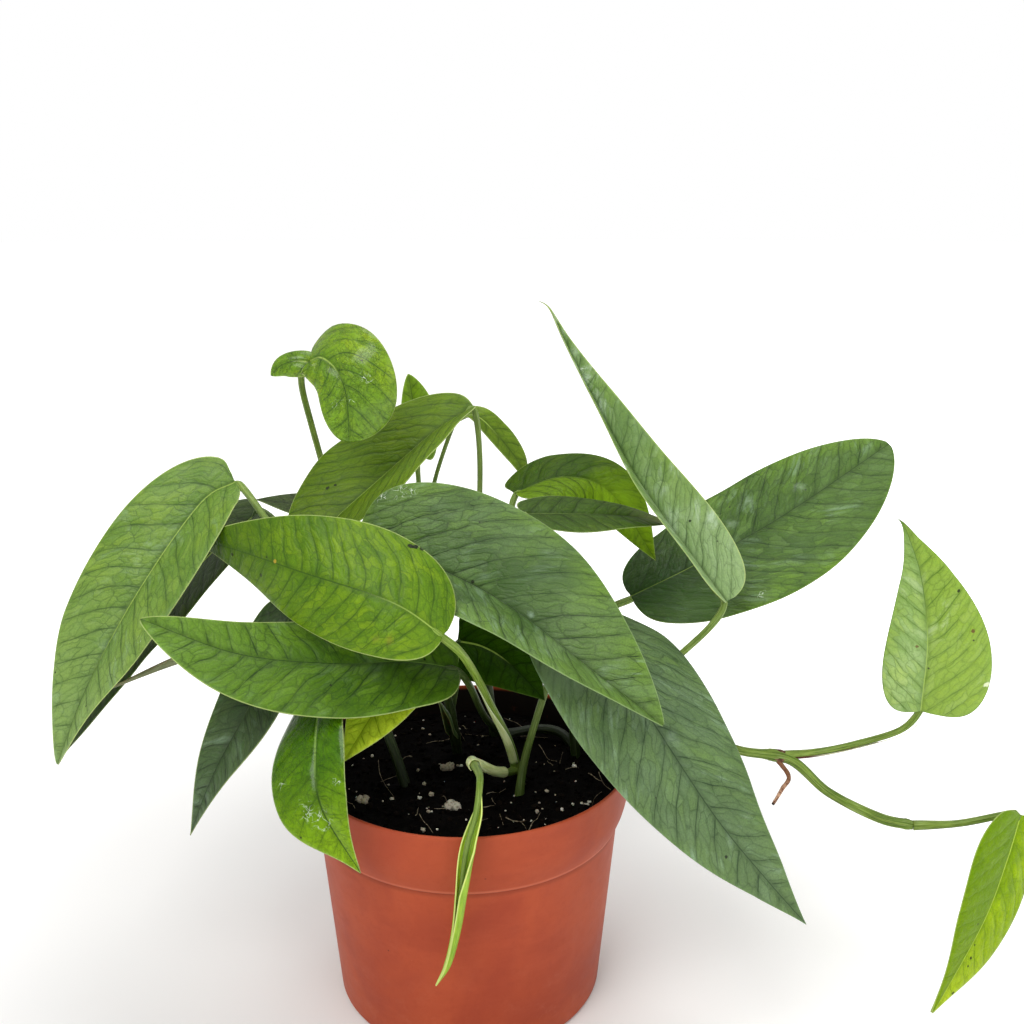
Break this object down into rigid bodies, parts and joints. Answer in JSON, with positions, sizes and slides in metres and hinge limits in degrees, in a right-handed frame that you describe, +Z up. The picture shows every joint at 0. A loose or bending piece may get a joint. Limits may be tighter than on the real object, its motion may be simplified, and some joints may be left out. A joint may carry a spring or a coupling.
{
  "type": "potted pothos plant",
  "caption": "Young blue-green pothos with tapering leaves on slender stalks, a new rolled leaf over the rim and a vine trailing sideways, in a round plastic nursery pot with soil.",
  "frame": {"origin": "centre of the pot's flat underside", "axes": "+Z up, -Y towards the front, +X towards the side the long vine trails to"},
  "size_m": [0.3605, 0.139, 0.2548],
  "materials": {
    "pot_plastic": "satin",
    "potting_soil": "matte",
    "green_stem": "satin",
    "old_stem": "satin",
    "young_leaf": "satin",
    "green_leaf": "satin",
    "blue_green_leaf": "satin",
    "dark_leaf": "satin",
    "root": "matte",
    "papery_sheath": "matte"
  },
  "bodies": {
    "root": {"pot": "pot_plastic", "soil": "potting_soil", "vine_front": "green_stem", "vine_back": "green_stem", "vine_right": "green_stem", "vine_trailing": "green_stem", "vine_soil": "old_stem", "vine_left": "old_stem", "vine_middle": "old_stem", "leaf_front_light": "young_leaf", "leaf_top_curled": "young_leaf", "leaf_vine_upper": "young_leaf", "leaf_vine_lower": "young_leaf", "leaf_front_glossy": "young_leaf", "leaf_pale_under": "young_leaf", "leaf_far_left": "green_leaf", "leaf_front_low": "green_leaf", "leaf_back_wide": "green_leaf", "leaf_back_arched": "green_leaf", "leaf_back_folded": "green_leaf", "leaf_back_small": "green_leaf", "leaf_centre_blue": "blue_green_leaf", "leaf_right_hanging": "blue_green_leaf", "leaf_right_dark": "blue_green_leaf", "leaf_upright": "blue_green_leaf", "leaf_back_dark": "blue_green_leaf", "leaf_behind_left": "dark_leaf", "leaf_under_centre": "dark_leaf", "leaf_left_hanging": "dark_leaf", "leaf_back_left": "dark_leaf", "new_leaf_front": "young_leaf", "new_leaf_left": "old_stem", "aerial_root": "root", "cataphyll": "papery_sheath"}
  },
  "joints": []
}
